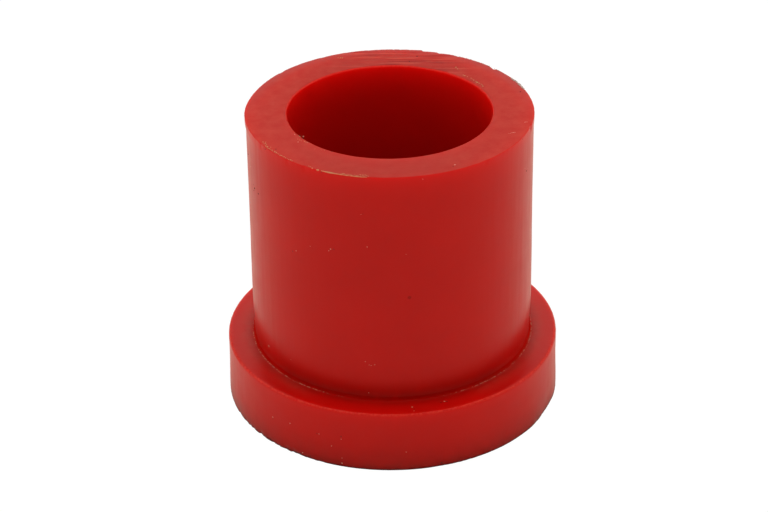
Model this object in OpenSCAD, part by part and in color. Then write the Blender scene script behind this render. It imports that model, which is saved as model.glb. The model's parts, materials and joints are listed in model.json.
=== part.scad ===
// Flanged polyurethane bush: one cast and turned piece.
// A plain barrel stands on a round flange, and a plain bore runs right through.
// The bore's axis is Z, and the flange's outer face lies on Z = 0.

/* [Barrel] */
// Outside diameter of the barrel, which presses into the housing
barrel_d = 50; // [46:0.5:54]
// Overall length, from the flange's outer face to the barrel's end face
length = 55.5; // [30:0.5:90]

/* [Bore] */
// Diameter of the bore, which takes the pin or the inner sleeve
bore_d = 36; // [20:0.5:42]

/* [Flange] */
// Outside diameter of the flange
flange_d = 60; // [57:0.5:80]
// Thickness of the flange
flange_t = 11.5; // [4:0.5:20]

/* [Edges] */
// Round on the barrel's free outer edge
barrel_edge_r = 0.3; // [0.1:0.05:0.8]
// Round on both of the flange's outer edges
flange_edge_r = 0.5; // [0.1:0.05:1]
// Round on the bore's two mouths
bore_edge_r = 0.3; // [0.1:0.05:0.8]
// Fillet in the corner where the barrel leaves the flange
root_r = 0.4; // [0.1:0.05:0.8]

/* [Hidden] */

// Segments of a full turn
TURN_FACES = 180;
// Segments of each quarter round in the section
ROUND_STEPS = 6;

barrel_r = barrel_d / 2;
bore_r = bore_d / 2;
flange_r = flange_d / 2;

// Points of a quarter round about [x, z], of radius r, that starts at the angle from_deg.
// A turn of 90 goes anticlockwise, as an outer edge does, and -90 clockwise, as a fillet does.
function quarter(x, z, r, from_deg, turn = 90) = [
    for (step = [0 : ROUND_STEPS])
        let (angle = from_deg + turn * step / ROUND_STEPS)
        [x + r * cos(angle), z + r * sin(angle)]
];

// Half section of the bush, anticlockwise from the bore's lower mouth.
module bush_section() {
    polygon(concat(
        quarter(bore_r + bore_edge_r, bore_edge_r, bore_edge_r, 180),
        quarter(flange_r - flange_edge_r, flange_edge_r, flange_edge_r, 270),
        quarter(flange_r - flange_edge_r, flange_t - flange_edge_r, flange_edge_r, 0),
        quarter(barrel_r + root_r, flange_t + root_r, root_r, 270, -90),
        quarter(barrel_r - barrel_edge_r, length - barrel_edge_r, barrel_edge_r, 0),
        quarter(bore_r + bore_edge_r, length - bore_edge_r, bore_edge_r, 90)
    ));
}

module bush() {
    color([0.60, 0.10, 0.08])
        rotate_extrude($fn = TURN_FACES)
            bush_section();
}

bush();
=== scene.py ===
"""Dresses the flanged polyurethane bush: its turned body, its rim flash, its grit and a plain studio."""
import json
import math
import random

import bmesh
import bpy
from bpy.props import FloatProperty, FloatVectorProperty, IntProperty, PointerProperty
from mathutils import Matrix, Vector, noise


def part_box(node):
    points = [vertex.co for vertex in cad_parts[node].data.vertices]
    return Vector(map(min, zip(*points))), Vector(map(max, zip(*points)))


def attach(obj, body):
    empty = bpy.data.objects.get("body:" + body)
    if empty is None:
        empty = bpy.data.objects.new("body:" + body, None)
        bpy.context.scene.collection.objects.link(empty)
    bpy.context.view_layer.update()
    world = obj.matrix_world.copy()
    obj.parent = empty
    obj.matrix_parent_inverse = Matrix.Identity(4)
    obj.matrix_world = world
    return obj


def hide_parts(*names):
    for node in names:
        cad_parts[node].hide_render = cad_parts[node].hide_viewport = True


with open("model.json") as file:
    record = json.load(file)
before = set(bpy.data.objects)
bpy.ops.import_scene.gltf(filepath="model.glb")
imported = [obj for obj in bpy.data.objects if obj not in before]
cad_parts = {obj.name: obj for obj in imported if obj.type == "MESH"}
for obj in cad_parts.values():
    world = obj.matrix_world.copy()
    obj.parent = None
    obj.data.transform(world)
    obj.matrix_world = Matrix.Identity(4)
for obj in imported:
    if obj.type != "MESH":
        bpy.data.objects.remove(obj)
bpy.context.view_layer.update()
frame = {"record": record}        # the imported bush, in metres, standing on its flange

bl_info = {
    "name": "Flanged Polyurethane Bush",
    "version": (1, 0, 0),
    "blender": (4, 5, 0),
    "location": "View3D > Sidebar > Bush",
    "description": "Models a cast polyurethane bush with a cut end face, rim flash and grit",
    "category": "Add Mesh",
}

MM = 0.001
NODE = "bush"
BODY = "root"


def mount(name):
    """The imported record's mount of that name."""
    return next(m for m in frame["record"]["mounts"] if m["name"] == name)


BORE_R = mount("bore")["dims"]["r_mm"] * MM
BARREL_R = mount("barrel")["dims"]["r_mm"] * MM
FLANGE_T = mount("shoulder")["pos_m"][2]
FLANGE_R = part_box(NODE)[1].x
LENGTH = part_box(NODE)[1].z


def linear(hex_colour):
    """An sRGB hex colour as linear red, green and blue."""
    parts = [int(hex_colour[i:i + 2], 16) / 255 for i in (1, 3, 5)]
    return tuple(p / 12.92 if p <= 0.04045 else ((p + 0.055) / 1.055) ** 2.4 for p in parts)


# Sizes and colours that a user would change

def length_property(label, about, default):
    """A length in metres, shown in the scene's own unit."""
    return FloatProperty(name=label, description=about, default=default, min=0, subtype="DISTANCE",
                         unit="LENGTH", precision=5)


def colour_property(label, about, hex_colour):
    """A colour, kept as linear values."""
    return FloatVectorProperty(name=label, description=about, default=linear(hex_colour), min=0, max=1,
                               size=3, subtype="COLOR")


class BushSizes(bpy.types.PropertyGroup):
    """Sizes of the bush's body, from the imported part."""

    bore_r: length_property("Bore radius", "Radius of the plain bore", BORE_R)
    barrel_r: length_property("Barrel radius", "Radius of the barrel", BARREL_R)
    flange_r: length_property("Flange radius", "Radius of the flange", FLANGE_R)
    flange_t: length_property("Flange thickness", "Height of the shoulder over the flange's face", FLANGE_T)
    length: length_property("Length", "Overall length of the bush", LENGTH)
    bore_edge: length_property("Bore edge", "Round on the bore's mouths", 0.42 * MM)
    barrel_edge: length_property("Barrel edge", "Round on the barrel's free edge", 0.16 * MM)
    flange_edge: length_property("Flange edge", "Round on the flange's upper edge", 0.50 * MM)
    foot_edge: length_property("Foot edge", "Round on the flange's lower edge", 0.12 * MM)
    root_fillet: length_property("Root fillet", "Fillet between barrel and flange", 0.50 * MM)
    turn_steps: IntProperty(name="Turn steps", description="Faces around a full turn", default=540, min=48)


class BushColours(bpy.types.PropertyGroup):
    """Colours of the bush's finishes, and of the light and shade painted onto it."""

    skin: colour_property("Moulded skin", "Red of the cast polyurethane", "#BE0803")
    skin_deep: colour_property("Deep skin", "Darker red where the skin is denser", "#B20602")
    # Painted highlight: a paler red painted along the bore's mouth and along the flange's crest
    edge_highlight: colour_property("Worn edge", "Paler red where an edge is rubbed", "#D03A2A")
    # Painted glow: a bright red painted on the bore's wall near its mouth, standing in for light coming
    # through
    mouth_glow: colour_property("Thin edge", "Bright red at the bore's mouth, where light comes through", "#EA0E06")
    # Brown red that paints shade in the bore, beside the root and down the flange's side to the foot, with a
    # painted contact shadow along the foot; it is also brown grime in the root corner and dirt in the shallow
    # pit
    grime_and_shade: colour_property("Grime", "Brown red film in the corners", "#5A0E09")
    # Painted sheen: a pale film painted on the flange's top at left and right, standing in for the reflection
    # of the bright surround
    film: colour_property("Film", "Thin dull film on the flange beside the barrel", "#B03C32")
    cut: colour_property("Cut face", "Dull red of the cut end face", "#AC1306")
    cut_dull: colour_property("Dull cut", "Duller red across the middle of the cut face", "#8E0E06")
    cut_pale: colour_property("Cut streak", "Palest streaks on the cut face", "#C44A3C")
    cut_deep: colour_property("Cut score", "Deep red in the blade's scores", "#900A05")
    rim_dust: colour_property("Rim dust", "Dull dusty red along the far half of the cut rim", "#963B3A")
    flash: colour_property("Rim flash", "Tan crust on the rim flash", "#D0956A")
    grey_flash: colour_property("Grey flash", "Grey film on the far rim", "#C8A8A4")
    # Pale grit: the pale dust specks, and also the colour of the painted highlight along the root
    pale_grit: colour_property("Pale grit", "Pale specks of dust", "#DA9E8C")
    # Dark grit: dirt in the pits, and the colour of the painted shadows beside some pale specks
    dark_grit_and_shadow: colour_property("Dark grit", "Dark dirt in the pits", "#4A120D")
    floor: colour_property("Floor", "Pale floor that the bush stands on", "#F7F5EC")


# Small tools

def add_object(name, bm, materials):
    """Makes a bmesh an object at the origin."""
    mesh = bpy.data.meshes.new(name)
    bm.to_mesh(mesh)
    bm.free()
    for material in materials:
        mesh.materials.append(material)
    piece = bpy.data.objects.new(name, mesh)
    bpy.context.collection.objects.link(piece)
    return piece


def add_node(tree, kind, settings=None, values=None, links=None):
    """Adds a node with its settings, its socket values and the sockets that feed it."""
    node = tree.nodes.new(kind)
    for key, value in (settings or {}).items():
        setattr(node, key, value)
    for key, value in (values or {}).items():
        node.inputs[key].default_value = value
    for key, socket in (links or {}).items():
        tree.links.new(socket, node.inputs[key])
    return node


def smooth(low, high, value):
    """0 below low, 1 above high and an even ease between."""
    share = min(max((value - low) / (high - low), 0), 1)
    return share * share * (3 - 2 * share)


def window(centre, half, value):
    """1 at the centre, easing to 0 at half on either side. Angles wrap round."""
    away = abs((value - centre + 180) % 360 - 180)
    return 1 - smooth(0, half, away)


def along(stations, value):
    """Eased value between stations of (place, value)."""
    for (a, first), (b, second) in zip(stations, stations[1:]):
        if value <= b:
            return first + (second - first) * smooth(a, b, value)
    return stations[-1][1]


# Radius in mm of the round wall that the noise is drawn on
NOISE_R = 25


def rough(angle, height, grain, seed):
    """Noise from -1 to 1 over a round wall: angle in degrees, height and grain in mm."""
    turn = math.radians(angle)
    reach = NOISE_R / grain
    return noise.noise(Vector((math.sin(turn) * reach, math.cos(turn) * reach, height / grain + seed)))


# Shares of a chip's length between which its torn end drops, from just before its start
TORN_END = (-0.08, 0.04)


def chip(start, end, depth, angle):
    """Depth of a chip: deepest at its torn end and running out to nothing at the other."""
    share = (angle - start) / (end - start)
    return depth * smooth(*TORN_END, share) * (1 - min(max(share, 0), 1)) if share < 1 else 0


# The turned body

# Swell and waist of the barrel: height and added radius, in mm
BARREL_SWELL = ((12, 0.10), (21, 0.30), (27, 0.28), (34, 0.22), (41, 0.20), (49, 0.20), (53, 0.20))
# Lips of the barrel's free rim: middle and half width in degrees, and how far each stands out, in mm
RIM_LIPS = ((-89, 24, 0.20), (89, 24, 0.09))
# Chips in the barrel's free rim: the torn end and the end where each runs out, in degrees, and depth in mm
RIM_CHIPS = (
    (178.4, 176.4, 0.10), (175.6, 173.0, 0.12), (171.6, 169.0, 0.08), (165.4, 159.8, 0.40),
    (158.7, 153.2, 0.30), (150.4, 148.6, 0.12), (130.0, 133.8, 0.55), (118.6, 116.2, 0.16),
    (110.4, 107.0, 0.14), (75.4, 71.6, 0.20), (-171.0, -174.2, 0.10), (-152.0, -149.0, 0.10),
    (-128.0, -131.4, 0.14), (-61.8, -59.4, 0.10), (-44.0, -41.6, 0.08), (-35.6, -33.2, 0.12),
    (39.0, 41.2, 0.06),
)
# Ragged stretches of the flange's lower edge: middle and half width in degrees, depth in mm
FOOT_TEARS = (
    (-44.0, 26.0, 0.11), (66.0, 14.0, 0.04), (22.0, 12.0, 0.05), (152.0, 22.0, 0.14), (-132.0, 18.0, 0.15),
    (-165.0, 12.0, 0.12), (104.0, 10.0, 0.08),
)
# The two grains of those stretches: size in mm, seed, and the values between which the noise bites
TEAR_GRAINS = ((1.3, 2, 0.0, 0.3), (0.4, 6, -0.1, 0.4))
# Chips in the flange's lower edge, listed as for the rim
FOOT_CHIPS = (
    (-36.9, -34.4, 0.26), (-39.6, -38.0, 0.10), (-45.5, -43.6, 0.12), (-52.9, -50.0, 0.24),
    (-57.2, -55.4, 0.14), (-62.5, -60.5, 0.12), (-68.2, -65.0, 0.10), (148.0, 151.6, 0.24),
    (-129.0, -125.4, 0.20), (-170.4, -167.0, 0.18),
)
# Soft flat on the flange's lower edge: middle and half width in degrees, depth in mm
FOOT_FLAT = (67.0, 11.0, 0.16)
# How far the flange's side flares out towards its lower edge, in mm
FOOT_FLARE = 0.17
# Heights in mm between which the foot's tears, its soft flat and its flare fade out
TEAR_HEIGHTS = (0.1, 1.1)
FLAT_HEIGHTS = (1, 6)
FLARE_HEIGHTS = (0, 8)
# Distances in mm from the barrel's wall, or from its cut end, between which the wear there comes in
WALL_DEPTHS = (3, 0.4)
LIP_DEPTHS = (2.2, 1.0)
CHIP_DEPTHS = (1.4, 0.5)
RAGGED_DEPTHS = (0.6, 0.1)
FACE_DEPTHS = (0.5, 0.05)
# Angles from the front between which the free rim grows twice as ragged
RAGGED_ANGLES = (60, 150)
# How much longer than wide the drag marks on the barrel are
DRAG_STRETCH = 12
# Unevenness of the surfaces: how far each stands off and the size of its grain, in mm, and its seed
LIP_GRAIN = (0.02, 6, 3)
DRAG_GRAIN = (0.012, 0.9, 11)
RAGGED_GRAIN = (0.03, 0.5, 5)
SIDE_GRAIN = (0.02, 2.5, 7)
FOOT_GRAIN = (0.025, 0.5, 17)
CREST_OUT_GRAIN = (0.030, 0.7, 31)
CREST_UP_GRAIN = (0.022, 0.6, 37)
MOUTH_GRAIN = (0.05, 0.45, 41)
ROOT_GRAIN = (0.05, 0.6, 21)
# How far out from the bore its mouth is uneven, and the root to either side of its foot, in mm
MOUTH_WIDTH = 0.6
ROOT_WIDTH = 0.2
# Blade lines and tears on the cut face: how close they lie along X and along Y, per mm, and their seed
BLADE_LINES = (0.06, 1.5, 4)
TEAR_LINES = (0.12, 1.1, 9)
# Height of both, and how far the whole cut face lies below the true one, in mm
LINE_HEIGHT = 0.01
TEAR_HEIGHT = 0.08
FACE_DROP = 0.02
# The tears are deepest towards the back and near one place along X, and fade to its left and right, in mm
TORN_BEHIND = (10, 22)
TORN_MIDDLE = 2
TORN_ASIDE = (6, 15)
# Where each region starts, in mm: the barrel over the shoulder and out from the bore, the flange's side
# below the shoulder and in from its radius, its crest from and to a height over the shoulder, the cut
# face below the end, and the root within a height of the shoulder and out from the barrel
BARREL_REGION = (0.02, 1)
SIDE_REGION = (0.2, 1.2)
CREST_REGION = (-0.6, 0.1)
FACE_REGION = 0.5
ROOT_REGION = (0.3, 1.8)

# The cut finish covers what lies within this depth of the end, in metres, and faces up at least so much,
# as the normal's part along Z: on the face, and on the round of the free rim within this width
CUT_DROP = 0.05 * MM
FACE_TILT = 0.8
RIM_TILT = 0.4
CUT_RIM = 1 * MM
# Depth of the finely divided band under the free rim, steps of each round, and the welding distance
RIM_BAND = 3 * MM
ROUND_STEPS = 6
WELD = 0.001 * MM


def section(sizes):
    """The closed half section as a flat bmesh, with its corners rounded and its edges divided."""
    rim = sizes.length - RIM_BAND
    # Each corner: radius, height, round, and the spacing of the points up to the next corner
    corners = (
        (sizes.bore_r, 0, sizes.bore_edge, 1.3 * MM),
        (sizes.flange_r, 0, sizes.foot_edge, 0.38 * MM),
        (sizes.flange_r, sizes.flange_t, sizes.flange_edge, 0.36 * MM),
        (sizes.barrel_r, sizes.flange_t, sizes.root_fillet, 0.95 * MM),
        (sizes.barrel_r, rim, 0, 0.26 * MM),
        (sizes.barrel_r, sizes.length, sizes.barrel_edge, 0.30 * MM),
        (sizes.bore_r, sizes.length, sizes.bore_edge, 4 * MM),
    )
    bm = bmesh.new()
    points = [bm.verts.new((radius, 0, height)) for radius, height, _, _ in corners]
    bm.faces.new(points)
    spacings = []
    for index, (radius, height, _, spacing) in enumerate(corners):
        after = corners[(index + 1) % len(corners)]
        middle = Vector(((radius + after[0]) / 2, 0, (height + after[1]) / 2))
        spacings.append((middle, spacing))
    for point, (_, _, round_r, _) in zip(points, corners):
        if round_r:
            bmesh.ops.bevel(bm, geom=[point], offset=round_r, offset_type="OFFSET",
                            segments=ROUND_STEPS, profile=0.5, affect="VERTICES", material=-1)
    bmesh.ops.delete(bm, geom=list(bm.faces), context="FACES_ONLY")
    for edge in list(bm.edges):
        middle = (edge.verts[0].co + edge.verts[1].co) / 2
        near, spacing = min(spacings, key=lambda pair: (pair[0] - middle).length)
        cuts = int(edge.calc_length() / spacing)
        if cuts and (near - middle).length < 1 * MM:
            bmesh.ops.subdivide_edges(bm, edges=[edge], cuts=cuts)
    return bm


def close_to(edge, depths, value):
    """0 well inside an edge, easing to 1 near it, between two distances from it in mm."""
    start, full = depths
    return smooth(edge - start, edge - full, value)


def uneven(angle, height, grain):
    """How far a surface stands off at a place: grain is its depth and size in mm and its seed."""
    depth, size, seed = grain
    return depth * rough(angle, height, size, seed)


def lined(x, y, lines):
    """Noise from -1 to 1 drawn out along X: lines is how close it lies along X and Y, and its seed."""
    along_x, along_y, seed = lines
    return noise.noise(Vector((x * along_x, y * along_y, seed)))


def barrel_wear(angle, height, length):
    """How far the barrel's wall stands off its true radius, in mm: swell, lip, drag marks, rim and chips."""
    swell = along(BARREL_SWELL, height) * math.sin(math.radians(angle)) ** 2
    lip = sum(width * window(at, half, angle) for at, half, width in RIM_LIPS) + uneven(angle, 0, LIP_GRAIN)
    lip *= close_to(length, LIP_DEPTHS, height)
    drag = uneven(angle, height / DRAG_STRETCH, DRAG_GRAIN)
    ragged = uneven(angle, height, RAGGED_GRAIN) * (1 + smooth(*RAGGED_ANGLES, abs(angle)))
    ragged *= close_to(length, RAGGED_DEPTHS, height)
    chips = sum(chip(start, end, depth, angle) for start, end, depth in RIM_CHIPS)
    chips *= close_to(length, CHIP_DEPTHS, height)
    return swell + lip + drag + ragged - chips


def side_wear(angle, height):
    """How far the flange's side stands off its true radius, in mm: flare, soft flat, tears and chips."""
    low = 1 - smooth(*TEAR_HEIGHTS, height)
    depth = sum(most * min(1, 2 * window(at, half, angle)) for at, half, most in FOOT_TEARS)
    torn = depth * sum(smooth(start, full, rough(angle, height, size, seed))
                       for size, seed, start, full in TEAR_GRAINS)
    torn += sum(chip(start, end, most, angle) for start, end, most in FOOT_CHIPS)
    flat_at, flat_half, flat_depth = FOOT_FLAT
    flat = flat_depth * window(flat_at, flat_half, angle) * (1 - smooth(*FLAT_HEIGHTS, height))
    flare = FOOT_FLARE * (1 - smooth(*FLARE_HEIGHTS, height))
    grain = uneven(angle, height, SIDE_GRAIN) + uneven(angle, height, FOOT_GRAIN) * low
    return flare - flat - torn * low + grain


def face_wear(x, y):
    """How far the cut face stands off its true height, in mm: faint blade lines, torn towards the back."""
    torn = lined(x, y, TEAR_LINES) * smooth(*TORN_BEHIND, y) * (1 - smooth(*TORN_ASIDE, abs(x - TORN_MIDDLE)))
    return LINE_HEIGHT * lined(x, y, BLADE_LINES) + TEAR_HEIGHT * torn - FACE_DROP


def sculpt(sizes, point):
    """Where a point of the plain turned body really lies, in metres."""
    x, y, height = point.x / MM, point.y / MM, point.z / MM
    radius = math.hypot(point.x, point.y) / MM
    angle = math.degrees(math.atan2(point.x, -point.y))
    bore, barrel, flange = sizes.bore_r / MM, sizes.barrel_r / MM, sizes.flange_r / MM
    shoulder, length = sizes.flange_t / MM, sizes.length / MM
    over, out = BARREL_REGION
    if height > shoulder + over and radius > bore + out:
        radius += barrel_wear(angle, height, length) * close_to(barrel, WALL_DEPTHS, radius)
    below, inside = SIDE_REGION
    if height < shoulder - below and radius > flange - inside:
        radius += side_wear(angle, height)
    # Crest of the flange: rubbed a little uneven
    low, high = CREST_REGION
    if radius > flange - inside and shoulder + low < height < shoulder + high:
        radius += uneven(angle, height, CREST_OUT_GRAIN)
        height += uneven(angle, radius, CREST_UP_GRAIN)
    # Cut end face and the bore's mouth, as the blade left them
    if height > length - FACE_REGION:
        face = close_to(length, FACE_DEPTHS, height)
        height += face * face_wear(x, y)
        mouth = 1 - smooth(bore, bore + MOUTH_WIDTH, radius)
        radius += uneven(angle, 0, MOUTH_GRAIN) * face * mouth
    # Root: the fillet's foot is uneven, as the mould's edge left it
    within, out = ROOT_REGION
    if abs(height - shoulder) < within and radius < barrel + out:
        foot = barrel + sizes.root_fillet / MM
        height += uneven(angle, radius, ROOT_GRAIN) * math.exp(-((radius - foot) / ROOT_WIDTH) ** 2)
    turn = math.radians(angle)
    return Vector((radius * math.sin(turn), -radius * math.cos(turn), height)) * MM


class BUSH_OT_body(bpy.types.Operator):
    """Turn the bush's section into its body and wear its edges"""

    bl_idname = "bush.body"
    bl_label = "Bush body"

    def execute(self, context):
        sizes = context.scene.bush_sizes
        colours = context.scene.bush_colours
        bm = section(sizes)
        bmesh.ops.spin(bm, geom=bm.verts[:] + bm.edges[:], cent=(0, 0, 0), axis=(0, 0, 1),
                       angle=math.tau, steps=sizes.turn_steps, use_merge=True)
        bmesh.ops.remove_doubles(bm, verts=bm.verts, dist=WELD)
        bmesh.ops.recalc_face_normals(bm, faces=bm.faces)
        bm.normal_update()
        cut_height = sizes.length - CUT_DROP
        root_top = sizes.flange_t + sizes.root_fillet
        for face in bm.faces:
            face.smooth = True
            middle = face.calc_center_median()
            radius = math.hypot(middle.x, middle.y)
            least_tilt = RIM_TILT if radius > sizes.barrel_r - CUT_RIM else FACE_TILT
            if middle.z > cut_height and face.normal.z > least_tilt:
                face.material_index = 1
            elif sizes.flange_t < middle.z < root_top and sizes.barrel_r < radius:
                face.material_index = 2
        for vert in bm.verts:
            vert.co = sculpt(sizes, vert.co)
        finishes = [
            moulded_polyurethane(colours, "satin cast polyurethane", SATIN_MIRRORED),
            cut_polyurethane(colours),
            moulded_polyurethane(colours, "dulled cast polyurethane", 0),
        ]
        body = add_object("bush_body", bm, finishes)
        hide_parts(NODE)
        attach(body, BODY)
        return {"FINISHED"}


# Flash and grit

# Height of the cut face, on which the crumbs of flash lie, in mm
FACE = LENGTH / MM - FACE_DROP
# Runs of solid flash: first and last angle from the front, radius, height and thickness in mm
TAN_RUNS = (
    (-27.6, -18.5, 25.0, FACE - 0.06, 0.17), (-19.5, -9.0, 25.0, FACE - 0.06, 0.11),
    (-29.6, -28.4, 25.05, FACE - 0.04, 0.17),
)
GREY_RUNS = (
    (108.0, 113.5, 24.98, FACE - 0.02, 0.22), (112.5, 118.5, 25.0, FACE - 0.04, 0.17),
    (120.0, 128.0, 25.02, FACE - 0.1, 0.09), (135.0, 141.5, 25.02, FACE - 0.12, 0.07),
    (143.0, 149.0, 25.0, FACE - 0.12, 0.06), (-112.0, -104.0, 25.02, FACE - 0.12, 0.07),
)
# Trails of crumbs: from and to, as angle and distance from the axis, then spread, spacing and size in mm
TAN_TRAILS = (
    ((-62.2, 24.4), (-55.5, 24.75), 0.32, 0.20, 0.105), ((-56.5, 24.8), (-51.0, 24.9), 0.18, 0.20, 0.115),
    ((-51.0, 24.85), (-45.8, 24.85), 0.06, 0.26, 0.120), ((-45.5, 24.85), (-41.2, 24.9), 0.08, 0.28, 0.130),
    ((-33.8, 24.6), (-31.5, 24.9), 0.10, 0.30, 0.110), ((-19.5, 24.95), (-8.6, 24.75), 0.22, 0.17, 0.095),
    ((-12.5, 24.5), (-8.6, 24.4), 0.16, 0.26, 0.100), ((145.0, 20.9), (142.0, 20.1), 0.10, 0.40, 0.110),
    ((136.5, 18.95), (132.5, 19.0), 0.10, 0.28, 0.115), ((130.0, 19.0), (117.5, 18.95), 0.18, 0.28, 0.125),
    ((-59.0, 18.3), (-57.0, 18.2), 0.06, 0.25, 0.105), ((-56.5, 19.2), (-49.5, 18.4), 0.14, 0.45, 0.090),
    ((-42.0, 19.3), (-34.0, 18.4), 0.10, 0.90, 0.070), ((-156.4, 23.4), (-158.6, 22.9), 0.06, 0.22, 0.110),
)
GREY_TRAILS = (
    ((119.0, 24.95), (107.5, 25.05), 0.16, 0.10, 0.125),
    ((149.0, 25.0), (128.0, 25.0), 0.04, 0.50, 0.070),
)

# Steps of a run of flash, a degree, how much it swells and shrinks along its way, with a grain in mm,
# and how bluntly it ends
RUN_STEPS = 1.5
RUN_SWELL = (0.75, 0.6)
RUN_GRAIN = 0.7
RUN_TAPER = 0.4
# Seed of the first group's crumbs
CRUMB_SEED = 5
# Size of each crumb and of each of its corners, as shares of the size given for its trail
CRUMB_SIZES = (0.5, 1.25)
CORNER_SIZES = (0.55, 1.35)


def flash_run(bm, first, last, radius, height, thickness, seed):
    """A closed crust that follows the rim, thick in its middle and ragged."""
    steps = max(6, int((last - first) * RUN_STEPS))
    start = math.radians(first)
    ring = bmesh.ops.create_circle(bm, cap_ends=True, segments=6, radius=1,
                                   matrix=Matrix.Rotation(math.pi / 2, 4, "X"))["verts"]
    face = ring[0].link_faces[0]
    for vert in ring:
        vert.co = Vector((radius + vert.co.x * thickness, 0, height + vert.co.z * thickness)) * MM
    bmesh.ops.rotate(bm, verts=ring, cent=(0, 0, 0), matrix=Matrix.Rotation(start - math.pi / 2, 3, "Z"))
    geometry = [face] + list(face.edges) + ring
    before = set(bm.verts) - set(ring)
    bmesh.ops.spin(bm, geom=geometry, cent=(0, 0, 0), axis=(0, 0, 1), angle=math.radians(last - first),
                   steps=steps)
    for vert in set(bm.verts) - before:
        angle = math.degrees(math.atan2(vert.co.x, -vert.co.y))
        share = (angle - first) / (last - first)
        size = math.sin(math.pi * min(max(share, 0.02), 0.98)) ** RUN_TAPER
        size *= RUN_SWELL[0] + RUN_SWELL[1] * rough(angle, 0, RUN_GRAIN, seed)
        turn = math.radians(angle)
        out = math.hypot(vert.co.x, vert.co.y) / MM - radius
        up = vert.co.z / MM - height
        out = radius + out * size
        vert.co = Vector((out * math.sin(turn), -out * math.cos(turn), height + up * size)) * MM


def crumb(bm, place, size, draw):
    """A small lump with uneven sides, half sunk into what it lies on."""
    made = bmesh.ops.create_icosphere(bm, subdivisions=1, radius=size, matrix=Matrix.Translation(place))
    for vert in made["verts"]:
        vert.co = place + (vert.co - place) * draw.uniform(*CORNER_SIZES)


def trail(bm, start, end, spread, spacing, size, draw):
    """Crumbs along a stretch of the cut face, unevenly spaced."""
    reach = abs(math.radians(end[0] - start[0])) * start[1] + abs(end[1] - start[1])
    count = max(3, int(reach / spacing))
    for step in range(count):
        share = (step + draw.uniform(0, 1)) / count
        turn = math.radians(start[0] + (end[0] - start[0]) * share)
        radius = start[1] + (end[1] - start[1]) * share + draw.uniform(-spread, spread)
        place = Vector((radius * math.sin(turn), -radius * math.cos(turn), FACE)) * MM
        crumb(bm, place, size * draw.uniform(*CRUMB_SIZES) * MM, draw)


class BUSH_OT_flash(bpy.types.Operator):
    """Lay the crusted flash and its crumbs along the cut rims"""

    bl_idname = "bush.flash"
    bl_label = "Rim flash"

    def execute(self, context):
        colours = context.scene.bush_colours
        groups = (
            ("rim_flash", TAN_RUNS, TAN_TRAILS, crusted_flash(colours)),
            ("far_rim_flash", GREY_RUNS, GREY_TRAILS, dusty_flash(colours)),
        )
        for seed, (name, runs, trails, material) in enumerate(groups, CRUMB_SEED):
            draw = random.Random(seed)
            bm = bmesh.new()
            for number, run in enumerate(runs):
                flash_run(bm, *run, number)
            for stretch in trails:
                trail(bm, *stretch, draw)
            bmesh.ops.recalc_face_normals(bm, faces=bm.faces)
            flash = add_object(name, bm, [material])
            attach(flash, BODY)
        return {"FINISHED"}


# Specks on the walls: angle from the front in degrees, radius of the wall, height and size in mm
PALE_WALL = (
    (-11.6, 25.0, 48.3, 0.080), (-33.5, 25.05, 40.2, 0.070), (-9.4, 25.0, 42.1, 0.095),
    (-24.3, 25.05, 40.7, 0.120), (-25.1, 25.05, 40.3, 0.085), (-40.6, 25.1, 38.3, 0.105),
    (5.7, 25.0, 40.7, 0.070), (-61.7, 25.1, 14.6, 0.220), (-47.3, 25.05, 15.6, 0.090),
    (-45.8, 25.05, 15.2, 0.100), (-11.0, 25.0, 19.1, 0.075), (-9.4, 25.0, 18.5, 0.085),
    (-7.2, 25.0, 18.6, 0.075), (-8.6, 25.0, 18.4, 0.085), (-9.8, 25.0, 12.7, 0.095),
    (42.5, 25.05, 16.3, 0.075), (12.4, 25.0, 54.8, 0.075), (-65.5, 25.1, 16.4, 0.100),
    (-68.3, 30.05, 1.6, 0.120), (-45.4, 30.05, 5.5, 0.125), (-37.4, 30.05, 6.0, 0.125),
    (-25.8, 30.05, 5.8, 0.100), (-17.8, 30.05, 5.7, 0.090), (-21.3, 30.1, 3.9, 0.085),
    (-17.6, 30.15, 1.8, 0.085), (-17.6, 30.15, 0.7, 0.120), (4.1, 30.1, 3.8, 0.080),
    (-32.3, 30.15, 0.8, 0.100), (67.2, 25.2, 48.8, 0.085), (70.8, 25.2, 48.0, 0.085),
    (-74.2, 25.2, 48.3, 0.110),
)
# Specks on the flat faces: angle, distance from the axis, height and size
PALE_FLAT = (
    (6.8, 27.7, 11.5, 0.145), (7.1, 28.9, 11.5, 0.095), (19.1, 27.3, 11.5, 0.160),
    (27.5, 23.4, FACE, 0.160), (-56.8, 17.7, FACE, 0.150), (-53.2, 19.6, FACE, 0.120),
    (-61.5, 18.6, FACE, 0.120), (-49.8, 18.5, FACE, 0.100), (65.0, 22.5, FACE, 0.080),
    (65.5, 22.7, FACE, 0.085), (66.1, 22.9, FACE, 0.095), (66.5, 23.1, FACE, 0.100),
    (66.9, 23.3, FACE, 0.085), (77.1, 23.9, FACE, 0.080), (77.4, 24.1, FACE, 0.085),
    (77.5, 24.3, FACE, 0.080),
)
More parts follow.
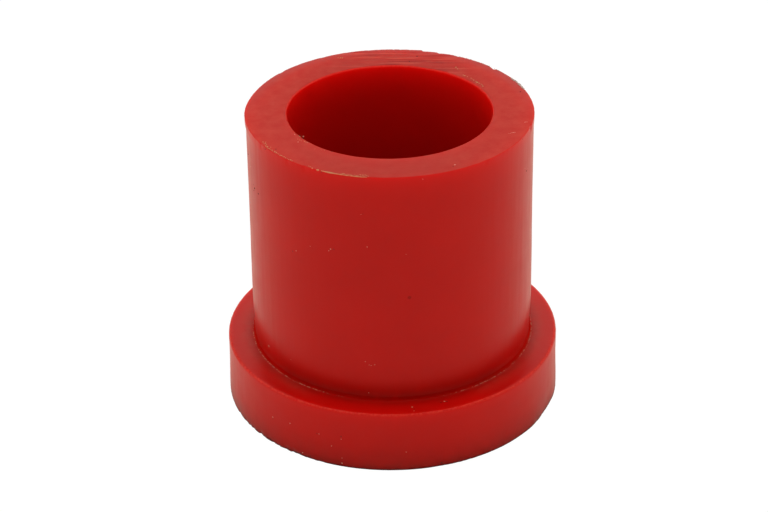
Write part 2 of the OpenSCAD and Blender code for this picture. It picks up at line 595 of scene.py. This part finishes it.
# Dark grains, listed as above: dirt in pits, some of them placed beside pale specks as their painted shadows
DARK_WALL = (
    (-69.8, 25.2, 45.0, 0.170), (-65.6, 25.15, 44.8, 0.170), (-42.5, 25.1, 37.9, 0.120),
    (-23.0, 25.05, 40.8, 0.110), (-10.8, 25.0, 48.4, 0.080), (-46.5, 30.1, 1.1, 0.120),
    (-17.8, 30.05, 6.3, 0.120), (-26.6, 30.05, 5.8, 0.100), (41.1, 30.1, 1.0, 0.150),
    (-33.4, 30.15, 0.5, 0.140), (-29.3, 30.15, 0.6, 0.120), (16.1, 30.15, 0.7, 0.140),
    (-45.4, 30.05, 5.1, 0.090), (73.5, 25.1, 55.1, 0.120), (66.8, 25.1, 55.1, 0.130),
    (64.1, 25.1, 55.1, 0.160), (70.4, 25.1, 55.0, 0.110), (69.1, 25.2, 47.9, 0.130),
    (-70.6, 25.2, 45.5, 0.090), (-71.0, 25.2, 44.3, 0.090), (-78.7, 25.2, 49.7, 0.120),
)
DARK_FLAT = (
    (166.8, 22.3, FACE, 0.190), (169.3, 19.9, FACE, 0.120), (105.8, 24.1, FACE, 0.140),
    (-55.1, 18.1, FACE, 0.150), (-58.9, 18.1, FACE, 0.150), (-53.6, 24.1, FACE, 0.130),
    (-53.0, 25.0, FACE - 0.1, 0.120), (-56.6, 25.4, FACE - 0.1, 0.120), (-32.6, 18.3, FACE, 0.100),
    (26.2, 23.8, FACE, 0.130), (-27.1, 25.3, FACE - 0.1, 0.120), (20.0, 27.5, 11.5, 0.130),
    (17.7, 27.4, 11.5, 0.130), (7.3, 28.3, 11.5, 0.110),
)

# A speck's width and thickness as shares of its length, and how uneven it is
SPECK_SHAPE = (0.8, 0.45)
SPECK_UNEVEN = 0.45
# Specks on the unseen side: how many and their seed, for the pale and the dark ones, their angles, the
# heights of those on the flange and on the barrel, their sizes in mm, and how many lie on the flange
UNSEEN_PALE = (12, 4)
UNSEEN_DARK = (3, 9)
UNSEEN_ANGLES = (100, 260)
ON_FLANGE = (1.5, 10)
ON_BARREL = (14, 52)
UNSEEN_SIZES = (0.11, 0.17)
FLANGE_SHARE = 0.3


def speck(bm, angle, radius, height, size, lies_flat):
    """A low grain half sunk into the wall or the face that it lies on."""
    turn = math.radians(angle)
    place = Vector((radius * math.sin(turn), -radius * math.cos(turn), height)) * MM
    out = Vector((0, 0, 1)) if lies_flat else Vector((math.sin(turn), -math.cos(turn), 0))
    width, thickness = SPECK_SHAPE
    squashed = Matrix.Diagonal((size * MM, size * width * MM, size * thickness * MM, 1))
    turned = out.to_track_quat("Z", "Y").to_matrix().to_4x4()
    made = bmesh.ops.create_icosphere(bm, subdivisions=2, radius=1,
                                      matrix=Matrix.Translation(place) @ turned @ squashed)
    for vert in made["verts"]:
        vert.co = place + (vert.co - place) * (1 + SPECK_UNEVEN * noise.noise(vert.co * per_mm(0.15)))


def unseen_specks(count, seed):
    """Specks for the side that the photograph doesn't show, as sparse as on the side that it does."""
    draw = random.Random(seed)
    specks = []
    for _ in range(count):
        on_flange = draw.random() < FLANGE_SHARE
        radius = (FLANGE_R if on_flange else BARREL_R) / MM
        height = draw.uniform(*(ON_FLANGE if on_flange else ON_BARREL))
        specks.append((draw.uniform(*UNSEEN_ANGLES), radius, height, draw.uniform(*UNSEEN_SIZES)))
    return specks


class BUSH_OT_grit(bpy.types.Operator):
    """Scatter the pale specks and the dark grains, some of which are painted shadows beside pale specks"""

    bl_idname = "bush.grit"
    bl_label = "Grit"

    def execute(self, context):
        colours = context.scene.bush_colours
        groups = (
            ("pale_specks", PALE_WALL + tuple(unseen_specks(*UNSEEN_PALE)), PALE_FLAT, pale_grit(colours)),
            ("dark_grains_and_shadows", DARK_WALL + tuple(unseen_specks(*UNSEEN_DARK)), DARK_FLAT, dark_grit_and_shadow(colours)),
        )
        for name, on_walls, on_flats, material in groups:
            bm = bmesh.new()
            for angle, radius, height, size in on_walls:
                speck(bm, angle, radius, height, size, False)
            for angle, radius, height, size in on_flats:
                speck(bm, angle, radius, height, size, True)
            for face in bm.faces:
                face.smooth = True
            piece = add_object(name, bm, [material])
            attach(piece, BODY)
        return {"FINISHED"}


# Materials

# How far red light sinks into the polyurethane, in mm, and red, green and blue as shares of that
SCATTER = 15
SCATTER_SHARES = (1.0, 0.04, 0.025)
# How strongly the polyurethane bends light
BENDING = 1.5
# Share of the light that sinks in: where the polyurethane is clear, and under dust
CLEAR_SHARE = 0.8
DUSTY_SHARE = 0.3
# Roughness of the satin skin, from and to, and of the places where it is dull
SATIN = (0.29, 0.37)
DULL = 0.8
# How much the skin, and the cut face, mirror
SATIN_MIRRORED = 0.16
CUT_MIRRORED = 0.37
# Roughness of the cut face, of dry dust and crusts, and of paper
CUT_ROUGHNESS = 0.75
DRY_ROUGHNESS = 0.85
PAPER_ROUGHNESS = 0.9
# Fine relief of the skin, of the cut face and of dry dust and crusts: strength, and distance in mm
SKIN_RELIEF = (0.14, 0.05)
CUT_RELIEF = (0.35, 0.08)
DRY_RELIEF = (0.4, 0.05)
# Share of a spot's reach within which its mask is full
SPOT_CORE = 0.4


def new_material(name):
    """An empty node material, with its tree, its place on the piece and its shader."""
    material = bpy.data.materials.new(name)
    material.use_nodes = True
    tree = material.node_tree
    tree.nodes.clear()
    place = add_node(tree, "ShaderNodeTexCoord").outputs["Object"]
    shader = add_node(tree, "ShaderNodeBsdfPrincipled")
    add_node(tree, "ShaderNodeOutputMaterial", links={"Surface": shader.outputs["BSDF"]})
    return material, tree, place, shader


def per_mm(size):
    """The scale of a pattern whose features are about that many mm across."""
    return 1 / (size * MM)


def blotches(tree, vector, size, detail=3, roughness=0.5):
    """Noise from 0 to 1 with features about that many mm across."""
    made = add_node(tree, "ShaderNodeTexNoise",
                    values={"Scale": per_mm(size), "Detail": detail, "Roughness": roughness},
                    links={"Vector": vector})
    return made.outputs["Fac"]


def maths(tree, operation, *terms):
    """The result of an operation on sockets and numbers."""
    numbers = {index: term for index, term in enumerate(terms) if isinstance(term, (int, float))}
    sockets = {index: term for index, term in enumerate(terms) if index not in numbers}
    return add_node(tree, "ShaderNodeMath", {"operation": operation}, numbers, sockets).outputs["Value"]


def ranged(tree, value, start, end, low=0, high=1, eased=False):
    """Takes a socket's values from start to end onto low to high, evenly or eased."""
    made = add_node(tree, "ShaderNodeMapRange",
                    {"interpolation_type": "SMOOTHSTEP" if eased else "LINEAR"},
                    {"From Min": start, "From Max": end, "To Min": low, "To Max": high}, {"Value": value})
    return made.outputs["Result"]


def two_tones(tree, first, second, share):
    """A mix of two colours by a share."""
    made = add_node(tree, "ShaderNodeMix", {"data_type": "RGBA"}, {"A": (*first, 1), "B": (*second, 1)},
                    {"Factor": share})
    return made.outputs["Result"]


def painted(tree, under, over, share):
    """A colour laid by a share over the socket of what is under it."""
    made = add_node(tree, "ShaderNodeMix", {"data_type": "RGBA"}, {"B": (*over, 1)},
                    {"Factor": share, "A": under})
    return made.outputs["Result"]


def raise_surface(tree, shader, height, strength, distance):
    """Gives the shader a fine relief from a socket, its distance in mm."""
    bump = add_node(tree, "ShaderNodeBump", values={"Strength": strength, "Distance": distance * MM},
                    links={"Height": height})
    tree.links.new(bump.outputs["Normal"], shader.inputs["Normal"])


def ring_mask(tree, place, radius, reach, height, depth):
    """1 on a ring about the axis, easing to 0 at its reach in radius and its depth in height, in mm."""
    flat = add_node(tree, "ShaderNodeVectorMath", {"operation": "MULTIPLY"}, {1: (1, 1, 0)}, {0: place})
    out = add_node(tree, "ShaderNodeVectorMath", {"operation": "LENGTH"}, links={0: flat.outputs["Vector"]})
    parts = add_node(tree, "ShaderNodeSeparateXYZ", links={"Vector": place})
    shares = []
    for socket, centre, half in ((out.outputs["Value"], radius, reach), (parts.outputs["Z"], height, depth)):
        away = maths(tree, "ABSOLUTE", maths(tree, "SUBTRACT", socket, centre * MM))
        shares.append(ranged(tree, away, 0, half * MM, 1, 0, eased=True))
    return maths(tree, "MULTIPLY", *shares)


def spot_mask(tree, place, centre, reach):
    """1 at a place on the piece, easing to 0 at its reach, in mm."""
    away = add_node(tree, "ShaderNodeVectorMath", {"operation": "DISTANCE"},
                    {1: [part * MM for part in centre]}, {0: place})
    core = SPOT_CORE * reach
    return ranged(tree, away.outputs["Value"], core * MM, reach * MM, 1, 0, eased=True)


def scatter_light(shader):
    """Lets light sink some way into the polyurethane, red furthest, so that its edges glow."""
    shader.inputs["IOR"].default_value = BENDING
    shader.inputs["Subsurface Weight"].default_value = CLEAR_SHARE
    shader.inputs["Subsurface Radius"].default_value = SCATTER_SHARES
    shader.inputs["Subsurface Scale"].default_value = SCATTER * MM


# Marks on the moulded skin, most of them painted light and shade: colour, ring (radius, reach, height,
# depth), grain in mm, the grain's low and high values between which the mark comes in, how strong it is,
# and the side that it keeps to with the distance from the middle at which it starts, or None all round
SKIN_MARKS = (
    # Painted glow on the bore's wall under its mouth, and a stronger band at the mouth itself
    ("mouth_glow", (18.0, 0.5, 55.5, 8.0), 2.0, 0.05, 0.40, 0.20, None),
    ("mouth_glow", (18.0, 0.5, 55.5, 1.2), 2.0, 0.05, 0.40, 0.25, None),
    # Painted highlights along the edge of the bore's mouth, all round and again behind
    ("edge_highlight", (18.1, 0.35, 55.45, 0.40), 0.5, 0.40, 0.60, 0.30, None),
    ("edge_highlight", (18.1, 0.35, 55.45, 0.50), 0.6, 0.35, 0.55, 0.22, ("behind", 2)),
    # Painted shade down the bore's wall
    ("grime_and_shade", (18.0, 0.5, 20.0, 36.0), 3.0, 0.00, 0.40, 0.20, None),
    # Brown grime and painted shade on the flange's top beside the root
    ("grime_and_shade", (26.0, 1.7, 11.5, 0.35), 1.6, 0.10, 0.60, 0.18, None),
    # Darker red on the flange's top towards its edge, at left and right
    ("grime_and_shade", (29.2, 2.2, 11.5, 0.35), 3.0, 0.00, 0.40, 0.18, ("aside", 16)),
    # A painted sheen on the flange's top at left and right
    ("film", (26.6, 2.4, 11.5, 0.35), 1.2, 0.20, 0.60, 0.28, ("aside", 14)),
    # Painted shade on the barrel's front just above the root
    ("grime_and_shade", (24.9, 0.6, 11.0, 5.0), 1.6, 0.05, 0.45, 0.36, ("ahead", 15)),
    # Painted shade, darker down the flange's side towards the foot
    ("grime_and_shade", (30.1, 1.5, 0.0, 6.0), 2.5, 0.10, 0.60, 0.26, None),
    # A painted contact shadow along the foot
    ("grime_and_shade", (30.1, 1.5, 0.0, 0.45), 0.8, 0.25, 0.45, 0.90, None),
    # A painted highlight along the flange's crest
    ("edge_highlight", (29.80, 0.36, 11.40, 0.40), 0.40, 0.38, 0.60, 0.60, None),
    # A broken painted highlight along the root, in the pale grit colour
    ("pale_grit", (25.50, 0.18, 11.50, 0.25), 0.45, 0.50, 0.60, 0.50, ("aside", 9)),
)
# A mark that keeps to a side comes in from this far before its start to this far past it, in mm
SIDE_EASE = (-1, 3)
# Dust on the cut face, as a ring (radius, reach, height, depth), and how far behind the axis it comes in
# and is full, in mm
DUSTY_RIM = (25.4, 3.0, 55.5, 1.0)
DUST_FROM = -4
DUST_FULL = 16
# Distances in mm to the left and right of the middle between which the duller middle of the cut face
# fades, and how strong it is
DULL_ASIDE = (6, 20)
DULL_SHARE = 0.3
# Distances in mm behind the axis between which the blade's scores come in, and how faint they are before
SCORED_BEHIND = (8, 20)
FAINT_SCORES = 0.04
# The blade's scores along X: colour, how far apart and how far shifted along X, in mm, and the noise's
# values between which each comes in. They are drawn out along X by this scale
SCORES = (("cut_pale", 0.9, 0, 0.50, 0.66), ("cut_deep", 0.6, 7, 0.52, 0.64))
SCORE_SCALE = 0.07
# Where the skin has lost its gloss: the fillet at the root, as a ring (radius, reach, height, depth), and
# a shallow pit at the front, as a place and a reach, in mm
DULL_ROOT = (25.3, 1.0, 11.9, 1.2)
DULL_PIT = ((2.98, -24.82, 32.12), 0.45)
# How dirty the pit is
PIT_DIRT = 0.5


def moulded_polyurethane(colours, name, mirrored):
    """Cast polyurethane with its mould skin: satin, slightly see-through, with faint drag lines, some grime,
    and painted light and shade.
    """
    material, tree, place, shader = new_material(name)
    # Clouding in the casting, 9 mm across
    tint = two_tones(tree, colours.skin, colours.skin_deep, blotches(tree, place, 9))
    # Painted light and shade, with some grime: a painted glow and painted highlights at the bore's mouth, a
    # painted highlight on the flange's crest and a broken one along the root, painted shade in the bore,
    # beside the root and down to the foot, darker red towards the flange's edge at the sides, a painted sheen
    # on the flange's top at the sides, and brown grime in the root corner
    parts = add_node(tree, "ShaderNodeSeparateXYZ", links={"Vector": place})
    sides = {
        "aside": maths(tree, "ABSOLUTE", parts.outputs["X"]),
        "behind": parts.outputs["Y"],
        "ahead": maths(tree, "MULTIPLY", parts.outputs["Y"], -1),
    }
    for colour, ring, size, low, high, strength, kept_to in SKIN_MARKS:
        broken = ranged(tree, blotches(tree, place, size), low, high, 0, strength)
        share = maths(tree, "MULTIPLY", broken, ring_mask(tree, place, *ring))
        if kept_to:
            side, start = kept_to
            before, past = SIDE_EASE
            there = ranged(tree, sides[side], (start + before) * MM, (start + past) * MM)
            share = maths(tree, "MULTIPLY", share, there)
        tint = painted(tree, tint, getattr(colours, colour), share)
    # Dirt in the shallow pit
    pit = spot_mask(tree, place, *DULL_PIT)
    tint = painted(tree, tint, colours.grime_and_shade, maths(tree, "MULTIPLY", pit, PIT_DIRT))
    tree.links.new(tint, shader.inputs["Base Color"])
    # Vertical drag marks 1.2 mm wide, and patches of 3 mm, that vary the satin
    drawn_out = add_node(tree, "ShaderNodeMapping", values={"Scale": (1, 1, 0.03)}, links={"Vector": place})
    drag = drawn_out.outputs["Vector"]
    both = maths(tree, "ADD", blotches(tree, drag, 1.2), blotches(tree, place, 3, detail=4))
    gloss = ranged(tree, both, 0.7, 1.3, *SATIN)
    # The root and the pit are dull
    dull = maths(tree, "MAXIMUM", ring_mask(tree, place, *DULL_ROOT), pit)
    spread = add_node(tree, "ShaderNodeMix", values={"B": DULL}, links={"Factor": dull, "A": gloss})
    tree.links.new(spread.outputs["Result"], shader.inputs["Roughness"])
    shader.inputs["Specular IOR Level"].default_value = mirrored
    # Drag lines along the axis, 0.8 mm apart, and a fine grain of 0.35 mm
    skin = maths(tree, "ADD", blotches(tree, drag, 0.8, detail=2), blotches(tree, place, 0.35, detail=2))
    raise_surface(tree, shader, skin, *SKIN_RELIEF)
    scatter_light(shader)
    return material


def cut_polyurethane(colours):
    """Polyurethane cut by a blade: matt and paler, scored by the blade and torn towards the back."""
    material, tree, place, shader = new_material("blade cut polyurethane")
    # Soft mottling, 2.2 mm across
    mottle = blotches(tree, place, 2.2, detail=4, roughness=0.6)
    tint = two_tones(tree, colours.cut, colours.cut_pale, ranged(tree, mottle, 0.35, 0.75, 0, 0.30))
    # The face is a little duller across its middle than at its left and right
    parts = add_node(tree, "ShaderNodeSeparateXYZ", links={"Vector": place})
    aside = maths(tree, "ABSOLUTE", parts.outputs["X"])
    start, end = (part * MM for part in DULL_ASIDE)
    middle = ranged(tree, aside, start, end, DULL_SHARE, 0, eased=True)
    tint = painted(tree, tint, colours.cut_dull, middle)
    # Dust lies along the far half of the rim
    far = ranged(tree, parts.outputs["Y"], DUST_FROM * MM, DUST_FULL * MM, eased=True)
    dust = maths(tree, "MULTIPLY", ring_mask(tree, place, *DUSTY_RIM), far)
    tint = painted(tree, tint, colours.rim_dust, dust)
    # The blade tore the back of the face
    start, end = (part * MM for part in SCORED_BEHIND)
    behind = ranged(tree, parts.outputs["Y"], start, end, FAINT_SCORES, 1, eased=True)
    away = maths(tree, "ABSOLUTE", maths(tree, "SUBTRACT", parts.outputs["X"], TORN_MIDDLE * MM))
    start, end = (part * MM for part in TORN_ASIDE)
    inner = ranged(tree, away, start, end, 1, 0, eased=True)
    torn = maths(tree, "MULTIPLY", behind, inner)
    # Scores along X: pale ones, and finer dark ones, each broken along its way
    height = mottle
    for colour, spacing, shift, low, high in SCORES:
        drawn_out = add_node(tree, "ShaderNodeMapping",
                             values={"Location": (shift * MM, 0, 0), "Scale": (SCORE_SCALE, 1, 1)},
                             links={"Vector": place})
        lines = blotches(tree, drawn_out.outputs["Vector"], spacing, roughness=0.6)
        share = maths(tree, "MULTIPLY", ranged(tree, lines, low, high), torn)
        tint = painted(tree, tint, getattr(colours, colour), share)
        height = maths(tree, "ADD", height, share)
    tree.links.new(tint, shader.inputs["Base Color"])
    # Crushed grain left by the blade, 0.25 mm
    raise_surface(tree, shader, maths(tree, "ADD", height, blotches(tree, place, 0.25)), *CUT_RELIEF)
    shader.inputs["Roughness"].default_value = CUT_ROUGHNESS
    shader.inputs["Specular IOR Level"].default_value = CUT_MIRRORED
    scatter_light(shader)
    # Less light comes through where dust lies
    tree.links.new(ranged(tree, dust, 0, 1, CLEAR_SHARE, DUSTY_SHARE), shader.inputs["Subsurface Weight"])
    return material


def dry(name, colour, darker, size):
    """A dry material in two tones: its colour, how much darker the second tone is and its grain in mm."""
    material, tree, place, shader = new_material(name)
    grain = blotches(tree, place, size)
    tint = two_tones(tree, colour, [part * darker for part in colour], grain)
    tree.links.new(tint, shader.inputs["Base Color"])
    raise_surface(tree, shader, grain, *DRY_RELIEF)
    shader.inputs["Roughness"].default_value = DRY_ROUGHNESS
    return material


def crusted_flash(colours):
    """Thin flash that has yellowed and holds dust, so it is tan and dry."""
    return dry("crusted flash", colours.flash, 0.6, 0.5)


def dusty_flash(colours):
    """The far rim's flash under a grey film of dust: dull and dry."""
    return dry("dust covered flash", colours.grey_flash, 0.65, 0.4)


def pale_grit(colours):
    """Dust grains: pale, dry and a little pink from the red beneath."""
    return dry("pale dust", colours.pale_grit, 0.7, 0.2)


def dark_grit_and_shadow(colours):
    """Dirt pressed into small pits, and painted shadows beside some pale specks: dark brown red and dry."""
    return dry("dark dirt", colours.dark_grit_and_shadow, 0.5, 0.2)


def matt_paper(colour, name, glow):
    """Matt studio paper with a faint grain, and the light of its own that it gives off."""
    material, tree, place, shader = new_material(name)
    grain = blotches(tree, place, 2, detail=2)
    tint = two_tones(tree, colour, [part * 0.99 for part in colour], grain)
    tree.links.new(tint, shader.inputs["Base Color"])
    shader.inputs["Roughness"].default_value = PAPER_ROUGHNESS
    shader.inputs["Emission Color"].default_value = (1, 1, 1, 1)
    shader.inputs["Emission Strength"].default_value = glow
    return material


# Stage

# The camera: where it stands in mm, how far it looks down, turns and tilts in degrees, and its lens in mm
CAMERA_PLACE = (0, -383.67, 247.56)
CAMERA_DOWN = 30.0
CAMERA_TURN = 0.201
CAMERA_TILT = -0.799
CAMERA_LENS = 114.91
# The nearest that the camera sees, in metres, and the place that the soft boxes point at, in mm
NEAREST = 0.01
LIGHT_AIM = (0, 0, 30)
# Soft boxes: name, place in mm, width and depth in mm, watts
SOFT_BOXES = (
    ("overhead_box", (0, 100, 900), 700, 2.8),
    ("left_box", (-800, 100, 450), 500, 0.8),
    ("right_box", (800, 100, 450), 500, 0.8),
    ("back_box", (0, 800, 480), 700, 0.5),
)
# The surround that lights and is mirrored: its tint and its strength
SURROUND_TINT = (1, 1, 0.84, 1)
SURROUND_GREY = 0.65
# Light of its own that the seen paper gives off, so that it comes out white as in the photograph
PAPER_GLOW = 1.0
# Radius of the paper, and how far the seen sheet lies below the other, in metres
PAPER_RADIUS = 4
SEEN_DROP = 0.05 * MM


class BUSH_OT_stage(bpy.types.Operator):
    """Set up the camera, the pale floor and the soft studio light"""

    bl_idname = "bush.stage"
    bl_label = "Studio"

    def execute(self, context):
        scene = context.scene
        camera_data = bpy.data.cameras.new("camera")
        camera_data.lens = CAMERA_LENS
        camera_data.clip_start = NEAREST
        camera = bpy.data.objects.new("camera", camera_data)
        scene.collection.objects.link(camera)
        turn = Matrix.Rotation(math.radians(CAMERA_TURN), 4, "Z")
        tip = Matrix.Rotation(math.radians(90 - CAMERA_DOWN), 4, "X")
        tilt = Matrix.Rotation(math.radians(CAMERA_TILT), 4, "Z")
        camera.matrix_world = Matrix.Translation(Vector(CAMERA_PLACE) * MM) @ turn @ tip @ tilt
        scene.camera = camera
        for name, place, width, watts in SOFT_BOXES:
            light = bpy.data.lights.new(name, "AREA")
            light.shape = "SQUARE"
            light.size = width * MM
            light.energy = watts
            box = bpy.data.objects.new(name, light)
            box.location = Vector(place) * MM
            toward = Vector(LIGHT_AIM) * MM - box.location
            box.rotation_euler = toward.to_track_quat("-Z", "Y").to_euler()
            scene.collection.objects.link(box)
        # Two sheets: one lights and mirrors but isn't seen, the other is only seen
        colour = scene.bush_colours.floor
        self.paper("floor", 0, matt_paper(colour, "matt white paper", 0)).visible_camera = False
        seen = self.paper("seen_floor", -SEEN_DROP, matt_paper((0, 0, 0), "lit white paper", PAPER_GLOW))
        seen.visible_diffuse = False
        seen.visible_glossy = False
        seen.visible_shadow = False
        self.surround(scene)
        scene.view_settings.view_transform = "Standard"
        return {"FINISHED"}

    def paper(self, name, height, material):
        """A round sheet of studio paper under the bush."""
        bm = bmesh.new()
        bmesh.ops.create_circle(bm, cap_ends=True, segments=64, radius=PAPER_RADIUS,
                                matrix=Matrix.Translation((0, 0, height)))
        sheet = add_object(name, bm, [material])
        return sheet

    def surround(self, scene):
        """A white surround to the camera, and a soft grey one to light and gloss."""
        world = bpy.data.worlds.new("surround")
        world.use_nodes = True
        tree = world.node_tree
        tree.nodes.clear()
        white = add_node(tree, "ShaderNodeBackground", values={"Color": (1, 1, 1, 1), "Strength": 1.0})
        grey = add_node(tree, "ShaderNodeBackground",
                        values={"Color": SURROUND_TINT, "Strength": SURROUND_GREY})
        path = add_node(tree, "ShaderNodeLightPath")
        seen = add_node(tree, "ShaderNodeMixShader",
                        links={0: path.outputs["Is Camera Ray"], 1: grey.outputs[0], 2: white.outputs[0]})
        add_node(tree, "ShaderNodeOutputWorld", links={"Surface": seen.outputs[0]})
        scene.world = world


class BUSH_PT_panel(bpy.types.Panel):
    """Lists the bush's pieces and its studio"""

    bl_idname = "BUSH_PT_panel"
    bl_label = "Polyurethane bush"
    bl_space_type = "VIEW_3D"
    bl_region_type = "UI"
    bl_category = "Bush"

    def draw(self, context):
        layout = self.layout
        for operator in OPERATORS:
            layout.operator(operator.bl_idname)
        for group in (context.scene.bush_sizes, context.scene.bush_colours):
            for name in group.__annotations__:
                layout.prop(group, name)


OPERATORS = (BUSH_OT_stage, BUSH_OT_body, BUSH_OT_flash, BUSH_OT_grit)
CLASSES = (BushSizes, BushColours, *OPERATORS, BUSH_PT_panel)


def register():
    for cls in CLASSES:
        bpy.utils.register_class(cls)
    bpy.types.Scene.bush_sizes = PointerProperty(type=BushSizes)
    bpy.types.Scene.bush_colours = PointerProperty(type=BushColours)


def unregister():
    del bpy.types.Scene.bush_colours
    del bpy.types.Scene.bush_sizes
    for cls in reversed(CLASSES):
        bpy.utils.unregister_class(cls)


def main():
    """Makes the stage and the pieces in order."""
    register()
    bpy.ops.bush.stage()
    bpy.ops.bush.body()
    bpy.ops.bush.flash()
    bpy.ops.bush.grit()


if __name__ == "__main__":
    main()
